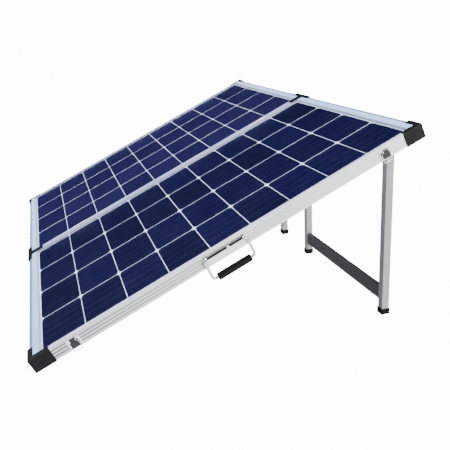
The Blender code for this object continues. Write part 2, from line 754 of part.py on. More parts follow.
def keeper(label, y, parent):
    """The hook on the far panel's outer side that a latch's loop pulls on."""
    width, height, thickness = KEEPER_PLATE
    face = -OUTER_EDGE - CLEARANCE
    plate = box(
        f"{label}_keeper",
        (face - thickness, y - width / 2, -KEEPER_DROP - height),
        (face, y + width / 2, -KEEPER_DROP),
        CHROME,
        parent,
    )
    half_hook = LEVER_WIDTH / 2 - KEEPER_HOOK_SIDE_GAP
    out = face - KEEPER_HOOK_REACH
    low = -LEVER_PIVOT[1] + KEEPER_DROP * 2
    arm = box(
        f"{label}_keeper_arm",
        (out, y - half_hook, low),
        (face - thickness / 2, y + half_hook, low + KEEPER_HOOK_THICKNESS),
        None,
        parent,
    )
    tip = box(
        f"{label}_keeper_tip",
        (out, y - half_hook, low - KEEPER_HOOK_THICKNESS),
        (out + thickness, y + half_hook, low + KEEPER_HOOK_THICKNESS / 2),
        None,
        parent,
    )
    boolean(plate, arm, "UNION")
    boolean(plate, tip, "UNION")


def build_panel(label, side, first_leg, parent):
    frame_rails(label, side, parent)
    laminate(label, side, parent)
    corner_protectors(label, side, parent)
    leg_brace(label, side, first_leg, parent)
    junction_box(label, side, parent)
    for name, x in leg_places(first_leg):
        pivot_bolt(f"{label}_{name}_leg_bolt", x, parent)
    pivot = add_empty(f"{label}_leg_axis", (first_leg, PIVOT_Y, -PIVOT_DEPTH), parent, LEG_LEAN - TILT)
    leg_frame(label, pivot)


def stand_on_ground(kit):
    """Moves the whole kit so that the middle of its footprint is the origin and its lowest point is at z = 0."""
    bpy.context.view_layer.update()
    graph = bpy.context.evaluated_depsgraph_get()
    corners = []
    for obj in bpy.data.objects:
        if obj.type != "EMPTY" and not obj.hide_render:
            mesh = obj.evaluated_get(graph).to_mesh()
            corners += [obj.matrix_world @ vertex.co for vertex in mesh.vertices]
            obj.evaluated_get(graph).to_mesh_clear()
    low = [min(corner[i] for corner in corners) for i in range(3)]
    high = [max(corner[i] for corner in corners) for i in range(3)]
    kit.location = (-(low[0] + high[0]) / 2, -(low[1] + high[1]) / 2, -low[2])
    bpy.context.view_layer.update()


clear_scene()
ALUMINIUM = make_material("anodised_aluminium", (0.72, 0.76, 0.80), 0.35, 0.9)
LEG_ALUMINIUM = make_material("leg_aluminium", (0.62, 0.63, 0.64), 0.4, 0.9)
DARK_ALUMINIUM = make_material("dark_crossbar", (0.16, 0.16, 0.17), 0.45, 0.6)
GLASS = make_material("glass", (0.80, 0.85, 0.90), 0.05)
CELLS = make_material("solar_cells", (0.012, 0.016, 0.075), 0.25)
BLACK_PLASTIC = make_material("black_plastic", (0.018, 0.018, 0.020), 0.5)
GREY_PLASTIC = make_material("grey_plastic", (0.30, 0.30, 0.31), 0.5)
RUBBER = make_material("black_rubber", (0.012, 0.012, 0.012), 0.8)
GRIP_RUBBER = make_material("grip_rubber", (0.010, 0.010, 0.011), 0.6)
CHROME = make_material("chrome", (0.85, 0.85, 0.86), 0.08, 1.0)
STEEL = make_material("zinc_steel", (0.60, 0.60, 0.60), 0.3, 1.0)
SCREEN_GLASS = make_material("display", (0.10, 0.13, 0.11), 0.1)

KIT = add_empty("kit", (0, 0, 0))
SLOPE = add_empty("slope", (0, 0, 0), KIT, TILT)
FOLD = add_empty("fold_axis", (0, 0, FOLD_HEIGHT), SLOPE)

build_panel("near", 1, OUTER_EDGE - LEG_FROM_EDGE, SLOPE)
build_panel("far", -1, -INNER_EDGE - LEG_FROM_EDGE, FOLD)
for hinge_label, hinge_y in (("low_hinge", HINGE_FROM_END), ("high_hinge", PANEL_LENGTH - HINGE_FROM_END)):
    hinge(hinge_label, hinge_y, SLOPE, FOLD)
for latch_label, latch_y in (("low", LATCH_FROM_LOW), ("high", PANEL_LENGTH - LATCH_FROM_HIGH)):
    latch(latch_label, latch_y, SLOPE)
    keeper(latch_label, latch_y, FOLD)
handle(SLOPE)
controller(SLOPE)
stand_on_ground(KIT)
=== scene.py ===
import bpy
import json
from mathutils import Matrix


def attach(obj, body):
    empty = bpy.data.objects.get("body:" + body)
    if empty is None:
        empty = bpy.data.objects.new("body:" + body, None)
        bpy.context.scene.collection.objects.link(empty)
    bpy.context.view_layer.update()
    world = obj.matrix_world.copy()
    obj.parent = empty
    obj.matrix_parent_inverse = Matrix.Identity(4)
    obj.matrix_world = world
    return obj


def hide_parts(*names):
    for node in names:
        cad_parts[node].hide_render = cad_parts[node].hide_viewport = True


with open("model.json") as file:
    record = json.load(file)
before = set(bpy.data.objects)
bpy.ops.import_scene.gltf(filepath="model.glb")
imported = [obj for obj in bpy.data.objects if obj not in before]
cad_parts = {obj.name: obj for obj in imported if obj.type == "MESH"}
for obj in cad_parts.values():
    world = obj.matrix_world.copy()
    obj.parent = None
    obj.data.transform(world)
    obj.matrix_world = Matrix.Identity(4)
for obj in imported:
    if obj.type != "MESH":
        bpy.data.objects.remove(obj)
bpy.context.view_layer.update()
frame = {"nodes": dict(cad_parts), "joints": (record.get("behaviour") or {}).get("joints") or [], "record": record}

"""Folding solar suitcase kit: the finished look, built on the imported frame.

The panels lie on a slope and the legs stand almost upright. Pieces are drawn in one of those two lays, with x
across, y along and z out of the lay, and are then turned into the frame's own directions. Lengths are metres.
"""
import json
import math

import bmesh
import bpy
from mathutils import Matrix, Vector

MM = 0.001
RECORD = frame["record"]
JOINTS = {joint["name"]: joint for joint in frame["joints"]}
SLOT_OF = {part["node"]: part["material_slot"] for part in RECORD["subparts"]}
BODY_OF = {node: body for body, nodes in RECORD["behaviour"]["bodies"].items() for node in nodes}
MOUNTS = {mount["name"]: mount for mount in RECORD["mounts"]}
PANELS = (("near", "near_panel"), ("far", "far_panel"))

fold_axis = JOINTS["panel_fold"]["axis"]
TILT = math.atan2(fold_axis[2], fold_axis[1])
sole_axis = MOUNTS["near_right_sole"]["axis"]
LEAN = math.atan2(sole_axis[1], -sole_axis[2])
SLOPE = Matrix.Rotation(TILT, 4, "X")
UPRIGHT = Matrix.Rotation(LEAN, 4, "X")
PLAIN = Matrix.Identity(4)


# ---------------------------------------------------------------- places

def span(node, lay=SLOPE):
    """The lowest and highest corner of a node, in the directions of a lay."""
    into_lay = lay.inverted()
    points = [into_lay @ vertex.co for vertex in frame["nodes"][node].data.vertices]
    low = Vector(min(point[i] for point in points) for i in range(3))
    high = Vector(max(point[i] for point in points) for i in range(3))
    return low, high


def pivot(joint):
    """Where a joint turns, in the panels' lay."""
    return SLOPE.inverted() @ Vector(JOINTS[joint]["pos_m"])


# ---------------------------------------------------------------- shader arithmetic

class Value:
    """A number or colour that varies from place to place. Arithmetic on it adds Math nodes."""

    def __init__(self, nodes, socket):
        self.nodes = nodes
        self.socket = socket

    def maths(self, operation, *values):
        return self.nodes.node("ShaderNodeMath", {"operation": operation}, values)

    def __add__(self, other):
        return self.maths("ADD", self, other)

    def __sub__(self, other):
        return self.maths("SUBTRACT", self, other)

    def __rsub__(self, other):
        return self.maths("SUBTRACT", other, self)

    def __mul__(self, other):
        return self.maths("MULTIPLY", self, other)

    def __truediv__(self, other):
        return self.maths("DIVIDE", self, other)

    def __rtruediv__(self, other):
        return self.maths("DIVIDE", other, self)

    def __lt__(self, other):
        return self.maths("LESS_THAN", self, other)

    def __gt__(self, other):
        return self.maths("GREATER_THAN", self, other)

    __radd__ = __add__
    __rmul__ = __mul__

    def part(self):
        """What is left over after the whole number."""
        return self.maths("FRACT", self)

    def whole(self):
        return self.maths("FLOOR", self)

    def size(self):
        return self.maths("ABSOLUTE", self)

    def line(self, spacing, width):
        """1 on lines of this width, repeated at this spacing, and 0 between them."""
        return ((self / spacing).part() - 0.5).size() < width / spacing / 2


class Nodes:
    """A tree of nodes, and the ways that nodes are added to it."""

    def __init__(self, owner):
        owner.use_nodes = True
        self.tree = owner.node_tree

    def node(self, kind, settings=None, inputs=(), output=0):
        """A node with its settings, and the values or links of its inputs by number or name."""
        node = self.tree.nodes.new(kind)
        for key, value in (settings or {}).items():
            if key == "stops":
                self.fill_ramp(node.color_ramp, value)
            else:
                setattr(node, key, value)
        named = inputs.items() if isinstance(inputs, dict) else enumerate(inputs)
        for key, value in named:
            self.feed(node.inputs[key], value)
        return Value(self, node.outputs[output])

    def fill_ramp(self, ramp, stops):
        while len(ramp.elements) < len(stops):
            ramp.elements.new(1.0)
        for element, (place, colour) in zip(ramp.elements, stops):
            element.position = place
            element.color = (*colour, 1.0)

    def feed(self, socket, value):
        if isinstance(value, Value):
            self.tree.links.new(value.socket, socket)
        else:
            socket.default_value = value

    def axes(self, place):
        """The three numbers of a place."""
        split = self.node("ShaderNodeSeparateXYZ", inputs=(place,))
        return [Value(self, socket) for socket in split.socket.node.outputs]

    def mix(self, share, first, second):
        """A colour between two, by share."""
        settings = {"data_type": "RGBA"}
        return self.node("ShaderNodeMix", settings, {0: share, 6: first, 7: second}, 2)

    def ramp(self, value, stops):
        return self.node("ShaderNodeValToRGB", {"stops": stops}, (value,))


class Finish(Nodes):
    """One material, built from nodes around a Principled shader."""

    def __init__(self, name, colour, roughness, metallic=0.0, **plain):
        self.material = bpy.data.materials.new(name)
        super().__init__(self.material)
        self.shader = self.tree.nodes["Principled BSDF"]
        self.output = self.tree.nodes["Material Output"]
        self.set("Base Color", (*colour, 1.0))
        self.set("Roughness", roughness)
        self.set("Metallic", metallic)
        for socket, value in plain.items():
            self.set(socket.replace("_", " "), value)
        self.material.diffuse_color = (*colour, 1.0)

    def set(self, socket, value):
        self.feed(self.shader.inputs[socket], value)

    def place(self, lay=SLOPE, stretch=(1, 1, 1)):
        """Object coordinates, turned into a lay and stretched."""
        here = self.node("ShaderNodeTexCoord", output="Object")
        into_lay = self.node("ShaderNodeMapping", inputs={0: here, "Rotation": lay.inverted().to_euler()})
        return self.node("ShaderNodeMapping", inputs={0: into_lay, "Scale": stretch})

    def noise(self, place, scale, detail=3.0, roughness=0.55):
        inputs = {"Vector": place, "Scale": scale, "Detail": detail, "Roughness": roughness}
        return self.node("ShaderNodeTexNoise", inputs=inputs)

    def bump(self, height, strength, distance):
        inputs = {"Height": height, "Strength": strength, "Distance": distance}
        self.set("Normal", self.node("ShaderNodeBump", inputs=inputs))


# ---------------------------------------------------------------- finishes

GROOVES = 3
FIRST_GROOVE = 10 * MM
GROOVE_PITCH = 8 * MM
GROOVE_WIDTH = 3.4 * MM
SHOULDER = 9.6 * MM
LIP_DEPTH = 1.3 * MM
FRONT_DEPTH = 3.5 * MM


def anodised(name, colour, lay, roughness, metallic, streak=(300, 4, 300)):
    """Extruded aluminium: fine lines along the extrusion, cloudy anodising and a few rubbed places."""
    finish = Finish(name, colour, roughness, metallic)
    lines = finish.noise(finish.place(lay, streak), 1.0, 4.0)
    clouds = finish.noise(finish.place(lay), 7.0, 3.0)
    level = lines * 0.16 + clouds * 0.10
    dark = tuple(part * 0.80 for part in colour)
    light = tuple(min(part * 1.10, 1.0) for part in colour)
    finish.set("Base Color", finish.ramp(level, ((0.06, dark), (0.20, light))))
    finish.set("Roughness", lines * 0.16 + clouds * 0.12 + (roughness - 0.14))
    finish.bump(lines, 0.25, 0.0002)
    return finish.material


def side_rail(name, top, foot, reach, lip_reflection_colour):
    """Anodised rail: painted shade in its three grooves, strongest towards the low end, a painted highlight that
    lightens the rail towards the high end, and a painted bluish sky reflection on its lip.
    """
    finish = Finish(name, (0.93, 0.94, 0.96), 0.40, 0.25)
    place = finish.place(SLOPE)
    _, along, height = finish.axes(place)
    lines = finish.noise(finish.place(SLOPE, (300, 4, 300)), 1.0, 4.0)
    clouds = finish.noise(place, 7.0, 3.0)
    tone = lines * 0.4 + clouds * 0.6
    clean = finish.ramp(tone, ((0.35, (0.40, 0.42, 0.44)), (0.62, (0.56, 0.575, 0.585))))
    depth = top - height
    # Painted shade: each groove is darkened towards near-black, strongly at the low end and fading towards the
    # high end, standing in for the shade that falls in it.
    groove = 0.0
    for i in range(GROOVES):
        centre = FIRST_GROOVE + i * GROOVE_PITCH
        groove = ((depth - centre).size() < GROOVE_WIDTH / 2) + groove
    climb = (along - foot) / reach
    shade = groove * (1.0 - climb * 0.85) * (clouds * 0.4 + 0.70)
    painted_groove_shade = finish.mix(shade, clean, (0.030, 0.040, 0.044, 1.0))
    # Painted highlight: the rail is lightened towards the high end, where the light falls brightest.
    painted_high_end_light = finish.mix(climb * 0.5, painted_groove_shade, (0.86, 0.88, 0.86, 1.0))
    # Painted reflection: the lip's top face is tinted bluish, standing in for reflected sky.
    lip = depth < LIP_DEPTH
    finish.set("Base Color", finish.mix(lip * 0.9, painted_high_end_light, lip_reflection_colour))
    finish.set("Roughness", lines * 0.16 + clouds * 0.14 + 0.26)
    finish.bump(lines, 0.2, 0.0002)
    return finish.material


def end_rail(name, top, outer_edge):
    """Pale anodised rail across an end: a painted bluish sky reflection on its front lip, painted shade on its
    sloping outer shoulder, and plain grey below the front.
    """
    finish = Finish(name, (0.80, 0.89, 1.0), 0.40, 0.0)
    place = finish.place(SLOPE)
    _, along, height = finish.axes(place)
    lines = finish.noise(finish.place(SLOPE, (4, 300, 300)), 1.0, 4.0)
    clouds = finish.noise(place, 7.0, 3.0)
    # Painted reflection: the front lip's blue stands in for reflected sky.
    lip = finish.ramp(lines * 0.4 + clouds * 0.6, ((0.35, (0.33, 0.52, 0.95)), (0.62, (0.42, 0.62, 1.0))))
    # Painted shade: the sloping outer shoulder is darkened, standing in for the shade on it.
    shoulder = (along - outer_edge).size() < SHOULDER
    front = finish.mix(shoulder * 0.8, lip, (0.12, 0.15, 0.18, 1.0))
    finish.set("Base Color", finish.mix(top - height < FRONT_DEPTH, (0.50, 0.52, 0.54, 1.0), front))
    finish.set("Roughness", lines * 0.16 + clouds * 0.14 + 0.26)
    finish.bump(lines, 0.2, 0.0002)
    return finish.material


def moulded(name, colour, roughness, grain=900.0, depth=0.0002):
    """Moulded plastic or rubber: a fine even grain, and slow changes of shine from handling."""
    finish = Finish(name, colour, roughness, Specular_IOR_Level=0.13)
    place = finish.place(PLAIN)
    fine = finish.noise(place, grain, 2.0)
    slow = finish.noise(place, 18.0, 4.0)
    light = tuple(part * 1.7 + 0.004 for part in colour)
    finish.set("Base Color", finish.ramp(slow * 0.7 + fine * 0.3, ((0.38, colour), (0.68, light))))
    finish.set("Roughness", slow * 0.30 + (roughness - 0.15))
    finish.bump(fine, 0.35, depth)
    return finish.material


def plated(name, colour, roughness):
    """Bright plating with faint polishing haze and finger marks."""
    finish = Finish(name, colour, roughness, 1.0)
    place = finish.place(PLAIN)
    haze = finish.noise(place, 60.0, 5.0)
    wave = finish.noise(place, 9.0, 2.0)
    dull = tuple(part * 0.82 for part in colour)
    finish.set("Base Color", finish.ramp(haze * 0.5 + wave * 0.5, ((0.35, dull), (0.6, colour))))
    finish.set("Roughness", haze * 0.10 + wave * 0.08 + (roughness - 0.05))
    finish.bump(wave, 0.08, 0.0006)
    return finish.material


def zinc(name, colour):
    """Zinc plated steel: mottled grey with a slightly warm cast in places."""
    finish = Finish(name, colour, 0.35, 1.0)
    place = finish.place(PLAIN)
    spangle = finish.node("ShaderNodeTexVoronoi", inputs={"Vector": place, "Scale": 380.0}, output="Color")
    mottle = finish.noise(place, 90.0, 3.0)
    tone = finish.ramp(mottle, ((0.35, (0.42, 0.42, 0.43)), (0.65, (0.66, 0.65, 0.62))))
    finish.set("Base Color", finish.mix(0.12, tone, spangle))
    finish.set("Roughness", mottle * 0.3 + 0.2)
    return finish.material


def backsheet(name, colour):
    """White backsheet with the faint weave of the encapsulant pressed into it."""
    finish = Finish(name, colour, 0.45)
    place = finish.place(SLOPE)
    across, along, _ = finish.axes(place)
    weave = across.line(0.0016, 0.0008) * along.line(0.0016, 0.0008)
    clouds = finish.noise(place, 5.0, 3.0)
    cool = (colour[0] * 0.90, colour[1] * 0.92, colour[2])
    finish.set("Base Color", finish.ramp(clouds, ((0.35, cool), (0.65, colour))))
    finish.set("Roughness", clouds * 0.2 + 0.35)
    finish.bump(weave, 0.15, 0.0001)
    return finish.material


def silicon(name, dark, light, pitch, first_corner):
    """Dark blue cells: each a slightly different blue, with fine silver fingers across it."""
    finish = Finish(name, dark, 0.32, Specular_IOR_Level=0.08)
    across, along, _ = finish.axes(finish.place(SLOPE))
    column = ((across - first_corner[0]) / pitch[0]).whole()
    row = ((along - first_corner[1]) / pitch[1]).whole()
    number = finish.node("ShaderNodeCombineXYZ", inputs=(column, row, 0.0))
    chance = finish.node("ShaderNodeTexWhiteNoise", {"noise_dimensions": "3D"}, (number,))
    cloud = finish.noise(finish.place(SLOPE), 11.0, 3.0)
    tone = finish.ramp(chance * 0.55 + cloud * 0.45, ((0.25, dark), (0.75, light)))
    fingers = along.line(0.0021, 0.00035)
    silver = (0.020, 0.022, 0.060, 1.0)
    finish.set("Base Color", finish.mix(fingers * 0.30, tone, silver))
    finish.set("Roughness", cloud * 0.2 + 0.25)
    return finish.material


def solar_glass(name):
    """Clear toughened glass: it mirrors a little, more at a shallow angle, and carries some dust."""
    finish = Finish(name, (0.88, 0.92, 1.0), 0.12, 1.0)
    place = finish.place(SLOPE)
    dust = finish.noise(place, 14.0, 6.0, 0.7)
    finish.set("Roughness", dust * 0.14 + 0.06)
    clear = finish.tree.nodes.new("ShaderNodeBsdfTransparent")
    clear.inputs[0].default_value = (0.985, 0.99, 1.0, 1.0)
    shine = finish.node("ShaderNodeFresnel", inputs={"IOR": 1.3})
    facing = 1.0 - finish.node("ShaderNodeNewGeometry", output="Backfacing")
    share = (shine * 0.40 + dust * 0.002) * facing
    mixed = finish.node("ShaderNodeMixShader", inputs={0: share})
    shader = mixed.socket.node
    finish.tree.links.new(clear.outputs[0], shader.inputs[1])
    finish.tree.links.new(finish.shader.outputs[0], shader.inputs[2])
    finish.tree.links.new(mixed.socket, finish.output.inputs["Surface"])
    return finish.material


def display(name, low, high):
    """A liquid-crystal window: grey-green, with a dark border and three level bars."""
    finish = Finish(name, (0.28, 0.34, 0.27), 0.15, Coat_Weight=0.6)
    across, along, _ = finish.axes(finish.place(SLOPE))
    middle = (low + high) / 2
    half = (high - low) / 2
    inside = (across - middle[0]).size() < half[0] - 3 * MM
    inside = ((along - middle[1]).size() < half[1] - 3 * MM) * inside
    bars = (across - middle[0]).line(9 * MM, 5 * MM) * ((along - middle[1]).size() < half[1] * 0.45)
    bars = bars * ((across - middle[0]).size() < half[0] * 0.62)
    lit = finish.mix(bars * 0.75, (0.30, 0.36, 0.28, 1.0), (0.04, 0.05, 0.04, 1.0))
    finish.set("Base Color", finish.mix(inside, (0.012, 0.013, 0.014, 1.0), lit))
    return finish.material


# ---------------------------------------------------------------- shaping

EVEN_SHADING_ANGLE = math.radians(40)
ROUNDED_FROM_ANGLE = math.radians(28)
FLAT_WITHIN_ANGLE = math.radians(0.5)


def add_object(name, data):
    thing = bpy.data.objects.new(name, data)
    bpy.context.scene.collection.objects.link(thing)
    return thing


def put(name, shape, finish, body, lay=SLOPE, replaced=(), recalculate=True):
    """Turns a finished bmesh out of its lay, into an object that rides on a body."""
    bmesh.ops.transform(shape, matrix=lay, verts=shape.verts)
    if recalculate:
        bmesh.ops.recalc_face_normals(shape, faces=shape.faces)
    data = bpy.data.meshes.new(name)
    shape.to_mesh(data)
    shape.free()
    data.shade_smooth()
    data.set_sharp_from_angle(angle=EVEN_SHADING_ANGLE)
    data.materials.append(finish)
    piece = add_object(name, data)
    weighted = piece.modifiers.new("even shading", "WEIGHTED_NORMAL")
    weighted.keep_sharp = True
    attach(piece, body)
    if replaced:
        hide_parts(*replaced)


def soften(shape, width):
    """Rounds every sharp edge."""
    edges = [edge for edge in shape.edges if len(edge.link_faces) == 2]
    edges = [edge for edge in edges if edge.calc_face_angle() > ROUNDED_FROM_ANGLE]
    bmesh.ops.bevel(
        shape, geom=edges, offset=width, offset_type="OFFSET", segments=2, profile=0.5,
        affect="EDGES", clamp_overlap=True, material=-1,
    )


def refined(node, width, finish=None):
    """A CAD solid with its flat faces made whole and its edges rounded, in place of the plain one."""
    shape = bmesh.new()
    shape.from_mesh(frame["nodes"][node].data)
    bmesh.ops.remove_doubles(shape, verts=shape.verts, dist=0.01 * MM)
    bmesh.ops.dissolve_limit(
        shape, angle_limit=FLAT_WITHIN_ANGLE, use_dissolve_boundaries=False,
        verts=shape.verts, edges=shape.edges,
    )
    soften(shape, width)
    slot = SLOT_OF[node]
    finish = finish or FINISHES[slot]
    put(f"{node}_finished", shape, finish, BODY_OF[node], PLAIN, (node,), recalculate=False)


def block(shape, low, high):
    """A box from its lowest to its highest corner."""
    low = Vector(low)
    high = Vector(high)
    place = Matrix.Translation((low + high) / 2) @ Matrix.Diagonal((*(high - low), 1.0))
    bmesh.ops.create_cube(shape, size=1.0, matrix=place)


def thicken(shape, faces, thickness):
    """Carries faces through a thickness (a vector), which leaves a closed wall."""
    made = bmesh.ops.extrude_face_region(shape, geom=faces)["geom"]
    moved = [part for part in made if isinstance(part, bmesh.types.BMVert)]
    bmesh.ops.translate(shape, vec=Vector(thickness), verts=moved)


def slab(shape, outline, thickness):
    """A flat face through the points, carried through a thickness."""
    face = shape.faces.new([shape.verts.new(point) for point in outline])
    thicken(shape, [face], thickness)


def turned(shape, profile, centre, axis, steps=24):
    """A profile of (radius, height) points, spun round an axis that stands on the centre."""
    before = set(shape.verts)
    verts = [shape.verts.new((radius, 0, height)) for radius, height in profile]
    edges = [shape.edges.new(pair) for pair in zip(verts, verts[1:])]
    bmesh.ops.spin(
        shape, geom=verts + edges, cent=(0, 0, 0), axis=(0, 0, 1), angle=2 * math.pi, steps=steps,
        use_merge=True, use_duplicate=False,
    )
    place = Matrix.Translation(centre) @ Vector(axis).to_track_quat("Z", "Y").to_matrix().to_4x4()
    spun = [vertex for vertex in shape.verts if vertex not in before]
    bmesh.ops.transform(shape, matrix=place, verts=spun)


def close_poles(shape):
    """Merges the points that a spin left together on its axis."""
    bmesh.ops.remove_doubles(shape, verts=shape.verts, dist=0.005 * MM)
    bmesh.ops.dissolve_degenerate(shape, edges=shape.edges, dist=0.004 * MM)


def rounded_outline(half_x, half_y, cut_x, cut_y, steps):
    """The corners of an oblong whose corners are cut by flat arcs, in order."""
    points = []
    for sign_x, sign_y, start in ((1, 1, 0), (-1, 1, 1), (-1, -1, 2), (1, -1, 3)):
        for i in range(steps + 1):
            turn = (start + i / steps) * math.pi / 2
            points.append((
                sign_x * (half_x - cut_x) + cut_x * math.cos(turn),
                sign_y * (half_y - cut_y) + cut_y * math.sin(turn),
            ))
    return points


def rivet_head(shape, centre, axis, radius, height):
    """A domed head, standing on its centre."""
    dome = [(0, height)]
    dome += [(radius * math.sin(turn), height * math.cos(turn) ** 0.5) for turn in (0.5, 0.9, 1.25)]
    dome += [(radius, height * 0.25), (radius, 0), (0, 0)]
    turned(shape, dome, centre, axis, 20)


FINISHES = {
    "anodised_aluminium": anodised("anodised_frame", (0.50, 0.52, 0.54), SLOPE, 0.38, 0.4),
    "leg_aluminium": anodised("leg_tube", (0.27, 0.272, 0.27), UPRIGHT, 0.42, 0.3, (260, 260, 3)),
    "dark_crossbar": anodised("dark_crossbar", (0.029, 0.027, 0.029), UPRIGHT, 0.5, 0.1, (3, 260, 260)),
    "glass": solar_glass("solar_glass"),
    "black_plastic": moulded("black_plastic", (0.0014, 0.0015, 0.0021), 0.45),
    "grey_plastic": moulded("grey_button", (0.22, 0.22, 0.23), 0.50),
    "black_rubber": moulded("foot_rubber", (0.0012, 0.0012, 0.0013), 0.75, 700.0, 0.0003),
    "grip_rubber": moulded("grip_rubber", (0.0004, 0.0004, 0.0006), 0.62, 1100.0, 0.0002),
    "chrome": plated("chrome", (0.86, 0.86, 0.87), 0.10),
    "zinc_steel": zinc("zinc_steel", (0.60, 0.60, 0.60)),
}

# ---------------------------------------------------------------- cells

COLUMNS = 4
ROWS = 9
CELL_PITCH = (158.26 * MM, 107.7 * MM)
CELL_GAP = {"near": (2.4 * MM, 1.8 * MM), "far": (3.1 * MM, 1.9 * MM)}
CORNER_CUT = {"near": (13.5 * MM, 7.2 * MM), "far": (8 * MM, 4.5 * MM)}
CORNER_STEPS = {"near": 2, "far": 3}
SIDE_BORDER = 14.23 * MM
CELL_THICKNESS = 0.20 * MM
RIBBONS_PER_CELL = 5
RIBBON_WIDTH = 1.1 * MM
RIBBON_THICKNESS = 0.08 * MM
RIBBON_INSET = 2 * MM
SHEET_CUT = 0.55 * MM
BEDDING = 0.02 * MM
SEAL_REACH = (0.3 * MM, 3.4 * MM)
SEAL_INSET = 1 * MM
SEAL_DROP = 0.2 * MM
SEAL_RISE = 0.7 * MM
# The far panel's cells are painted lighter and more purple than the near panel's: a painted reflection, standing
# in for the glass's sheen at a shallow angle.
CELL_COLOURS_AND_FAR_SHEEN = {
    "near": ((0.0009, 0.0008, 0.020), (0.0023, 0.0020, 0.033)),
    "far": ((0.0052, 0.0042, 0.038), (0.0090, 0.0072, 0.052)),
}


def cells(label, body):
    """White backsheet, the cells on it in four strings of nine, and their ribbons."""
    low, high = span(f"{label}_cell_sheet")
    rails = (span(f"{label}_inner_side_rail"), span(f"{label}_outer_side_rail"))
    left = min(rails[0][0].x, rails[1][0].x) + SIDE_BORDER
    middle_y = (low.y + high.y) / 2
    bottom = middle_y - ROWS * CELL_PITCH[1] / 2

    sheet = bmesh.new()
    block(sheet, low, high - Vector((0, 0, SHEET_CUT)))
    put(f"{label}_backsheet", sheet, BACKSHEET, body, replaced=(f"{label}_cell_sheet",))

    finish = silicon(f"{label}_silicon", *CELL_COLOURS_AND_FAR_SHEEN[label], CELL_PITCH, (left, bottom))
    half = [(pitch - gap) / 2 for pitch, gap in zip(CELL_PITCH, CELL_GAP[label])]
    outline = rounded_outline(*half, *CORNER_CUT[label], CORNER_STEPS[label])
    back = high.z - SHEET_CUT + BEDDING
    wafers = bmesh.new()
    for column in range(COLUMNS):
        for row in range(ROWS):
            x = left + (column + 0.5) * CELL_PITCH[0]
            y = bottom + (row + 0.5) * CELL_PITCH[1]
            slab(wafers, [(x + u, y + v, back) for u, v in outline], (0, 0, CELL_THICKNESS))
    put(f"{label}_cells", wafers, finish, body)

    strips = bmesh.new()
    top = back + CELL_THICKNESS + BEDDING
    end = bottom + ROWS * CELL_PITCH[1] - RIBBON_INSET
    step = CELL_PITCH[0] / RIBBONS_PER_CELL
    for column in range(COLUMNS):
        for i in range(RIBBONS_PER_CELL):
            x = left + column * CELL_PITCH[0] + (i + 0.5) * step
            block(
                strips,
                (x - RIBBON_WIDTH / 2, bottom + RIBBON_INSET, top),
                (x + RIBBON_WIDTH / 2, end, top + RIBBON_THICKNESS),
            )
    put(f"{label}_ribbons", strips, RIBBON, body)


def end_seals_and_shadows(label, body):
    """A grey seal strip between each end lip and the glass: part real sealant, part painted shadow of the lip's
    edge.
    """
    glass = span(f"{label}_glass")
    for end in ("low", "high"):
        rail_low, rail_high = span(f"{label}_{end}_end_rail")
        edge = rail_high.y if end == "low" else rail_low.y
        outward = 1 if end == "low" else -1
        shape = bmesh.new()
        start, stop = sorted(edge + outward * reach for reach in SEAL_REACH)
        block(
            shape,
            (rail_low.x + SEAL_INSET, start, glass[1].z - SEAL_DROP),
            (rail_high.x - SEAL_INSET, stop, glass[1].z + SEAL_RISE),
        )
        soften(shape, 0.4 * MM)
        put(f"{label}_{end}_seal", shape, SEAL_AND_SHADOW, body)


BACKSHEET = backsheet("backsheet", (0.76, 0.81, 1.0))
RIBBON = anodised("ribbon", (0.014, 0.016, 0.045), SLOPE, 0.45, 0.1)
# Part sealant, part painted shadow: the strip also stands in for the shadow that the lip's edge casts on the
# glass.
SEAL_AND_SHADOW = moulded("grey_seal_and_shadow", (0.24, 0.29, 0.38), 0.6)

rail_low, rail_high = span("near_outer_side_rail")
RAIL_PLACE = (rail_high.z, rail_low.y, rail_high.y - rail_low.y)
# The lip colours are painted sky reflections; the inner rails' lips, where the two panels meet, are painted darker
# as well, as painted shade at the joint.
SIDE_RAILS = {
    "inner_side": side_rail("inner_side_rail", *RAIL_PLACE, (0.40, 0.42, 0.85, 1.0)),
    "outer_side": side_rail("outer_side_rail", *RAIL_PLACE, (0.62, 0.62, 0.95, 1.0)),
}
LOW_END_RAIL = end_rail("low_end_rail", rail_high.z, span("near_low_end_rail")[0].y)
HIGH_END_RAIL = end_rail("high_end_rail", rail_high.z, span("near_high_end_rail")[1].y)

for panel, panel_body in PANELS:
    cells(panel, panel_body)
    end_seals_and_shadows(panel, panel_body)
    refined(f"{panel}_glass", 0.4 * MM)
    for rail, rail_finish in SIDE_RAILS.items():
        refined(f"{panel}_{rail}_rail", 0.3 * MM, rail_finish)
    refined(f"{panel}_low_end_rail", 0.3 * MM, LOW_END_RAIL)
    refined(f"{panel}_high_end_rail", 0.3 * MM, HIGH_END_RAIL)
    for corner in ("inner_low", "inner_high", "outer_low", "outer_high"):
        refined(f"{panel}_{corner}_protector", 0.25 * MM)

EDGE_WIDTHS = {
    "_leg_brace": 0.3, "_leg": 1.2, "_foot": 0.9, "_leg_crossbar": 0.8, "_leg_bolt": 0.3,
    "_junction_box": 0.8, "_junction_lid": 1.0, "_leaf": 0.2, "_hinge_pin": 0.2, "_keeper": 0.3,
    "_latch_lever": 0.8, "_latch_plate": 0.35, "controller_case": 0.4, "controller_button": 0.6,
}
FINISHES["display"] = display("display", *span("controller_screen"))
LEVER_STEEL = anodised("lever", (0.020, 0.020, 0.021), SLOPE, 0.42, 0.5, (300, 300, 300))
for cad_node in frame["nodes"]:
    for ending, size in EDGE_WIDTHS.items():
        if cad_node.endswith(ending):
            refined(cad_node, size * MM, LEVER_STEEL if ending == "_latch_lever" else None)
            break
refined("controller_screen", 0.2 * MM)

# ---------------------------------------------------------------- handle and latches

